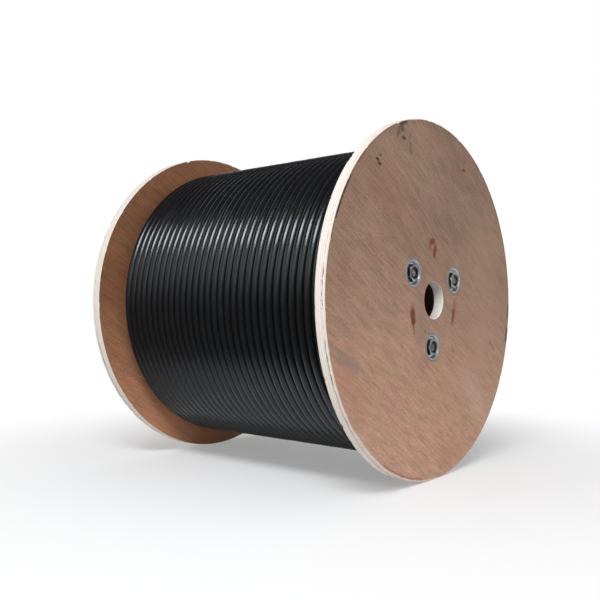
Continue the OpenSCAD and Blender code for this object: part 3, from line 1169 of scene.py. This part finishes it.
def bowl():
    """Bowl round the drum's lit side that stands for the dim room. It is dark at eye level."""
    shell = Shell()
    start, end = BOWL_TURN
    angles = [start + (end - start) * i / BOWL_STEPS for i in range(BOWL_STEPS + 1)]
    rows = [shell.ring((*spoke(MIDDLE, r, a), z) for a in angles) for r, z in BOWL]
    for low, high in zip(rows, rows[1:]):
        for i in range(BOWL_STEPS):
            shell.face((low[i], low[i + 1], high[i + 1], high[i]))
    g = Graph("bowl")
    x, y, z = g.split(g.coords())
    turn = g.math("ARCTAN2", g.math("MULTIPLY", y, -1.0), g.math("MULTIPLY", x, -1.0))
    away = g.math("ABSOLUTE", g.math("SUBTRACT", turn, g.ramp(z, *LEAN_REACH, *LEAN)))
    glow = g.math("MULTIPLY", g.ramp(away, GLOW_HALF, 0.0), g.ramp(z, *GLOW_REACH, *GLOW_LEVELS))
    foot = g.ramp(g.length(x, y), *FOOT_REACH, FOOT_PALE, 0.0)
    foot = g.math("MULTIPLY", foot, g.ramp(turn, *FOOT_TURN, *FOOT_LEVELS))
    level = g.math("MAXIMUM", foot, g.ramp(z, *BRIM_REACH, 0.0, BRIM_PALE))
    level = g.math("MAXIMUM", g.math("MAXIMUM", level, glow), BOWL_DARK)
    reflector("bowl", shell, g.show(g.emission(level)))


def mat():
    """Mat under the drum that stands for its shade, paler on the camera's side."""
    g = Graph("mat")
    level = g.ramp(g.split(g.coords())[0], *MAT_FADE, *MAT_LEVELS)
    shell = sheet((MAT_FADE[0], MAT_END), (-INNER_Y, INNER_Y), MAT_HEIGHT)
    reflector("mat", shell, g.show(g.emission(level)))


def card():
    """Dark card that stands for the ceiling."""
    g = Graph("card")
    shell = sheet((-CARD_HALF, CARD_HALF), (-CARD_HALF, CARD_HALF), CARD_HEIGHT)
    reflector("card", shell, g.finish(Base_Color=CARD_GREY, Roughness=0.9, Specular_IOR_Level=0.0))


def world():
    """White world that shows at full strength and lights the drum at a lower one."""
    studio = bpy.data.worlds.new("studio")
    bpy.context.scene.world = studio
    studio.use_nodes = True
    tree = studio.node_tree
    fill = tree.nodes["Background"]
    shown = tree.nodes.new("ShaderNodeBackground")
    for background, strength in ((fill, WORLD_FILL), (shown, 1.0)):
        background.inputs["Color"].default_value = WHITE
        background.inputs["Strength"].default_value = strength
    mix = tree.nodes.new("ShaderNodeMixShader")
    for socket, source in enumerate((seen_rays(tree), fill.outputs[0], shown.outputs[0])):
        tree.links.new(source, mix.inputs[socket])
    tree.links.new(mix.outputs[0], tree.nodes["World Output"].inputs["Surface"])


def key_lamp():
    """Soft area lamp that looks at the drum's centre."""
    data = bpy.data.lights.new("key", "AREA")
    data.shape = "RECTANGLE"
    data.size, data.size_y = KEY_SIZE
    data.energy = KEY_POWER
    data.color = KEY_TINT
    obj = placed("key", data)
    obj.visible_camera = False
    away = direction(KEY_AZIMUTH, KEY_ELEVATION)
    obj.location = DRUM_CENTRE + away * KEY_AFAR
    obj.rotation_mode = "QUATERNION"
    obj.rotation_quaternion = away.to_track_quat("Z", "Y") @ Quaternion((0, 0, 1), KEY_ROLL)


def camera():
    data = bpy.data.cameras.new("camera")
    data.sensor_width = SENSOR_WIDTH
    data.lens = SENSOR_WIDTH * FOCAL_PIXELS / IMAGE_PIXELS
    obj = placed("camera", data)
    obj.location = DRUM_CENTRE + CAMERA_PLACE
    back = direction(CAMERA_AZIMUTH, CAMERA_ELEVATION)
    obj.rotation_mode = "QUATERNION"
    obj.rotation_quaternion = (-back).to_track_quat("-Z", "Y")
    bpy.context.scene.camera = obj


def build():
    """Makes the drum's pieces and their materials."""
    front_veneer = veneer("front_veneer", FRONT_TONES, OUTER_PAINTED_LIGHT_REACH, FRONT_MARKS, FRONT_CUT)
    rear_veneer = veneer("rear_veneer", REAR_TONES, OUTER_PAINTED_LIGHT_REACH, REAR_MARKS, REAR_CUT)
    inner_veneer = veneer("inner_veneer", INNER_TONES, INNER_PAINTED_LIGHT_REACH, INNER_MARKS, INNER_CUT)
    edge = ply_edge()
    front = flange("front_flange_ply", SIDES["front"], [front_veneer, inner_veneer, edge], seed=1)
    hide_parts("front_flange")
    rear = flange("rear_flange_ply", SIDES["rear"], [rear_veneer, inner_veneer, edge], seed=2)
    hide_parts("rear_flange")
    cable(cable_jacket())

    # The lip is a darker, duller copy of the dish's zinc: painted shade
    washer_zinc = [zinc("zinc_washer", WASHER_TONES, rust_amount=0.0, shine=0.85),
                   zinc("zinc_lip_shaded", LIP_SHADED_TONES, rust_amount=0.0, shine=0.3)]
    nut_zinc = [zinc("zinc_nut", NUT_TONES, rust_amount=0.02),
                zinc("zinc_chamfer", CHAMFER_TONES, rust_amount=0.0)]
    rod_zinc = zinc("zinc_rod", ROD_TONES, rust_amount=0.06)
    for number in RODS:
        tie_rod(number, rod_zinc)
        for end in SIDES:
            washer(number, end, washer_zinc)
            nut(number, end, math.radians(NUT_TURN + NUT_TURN_STEP * number), nut_zinc)
    barrel_materials = frame["nodes"]["barrel"].data.materials
    barrel_materials.clear()
    barrel_materials.append(fibre_board())


build()
floor()
world()
bowl()
mat()
card()
key_lamp()
camera()
bpy.context.scene.view_settings.view_transform = "Standard"
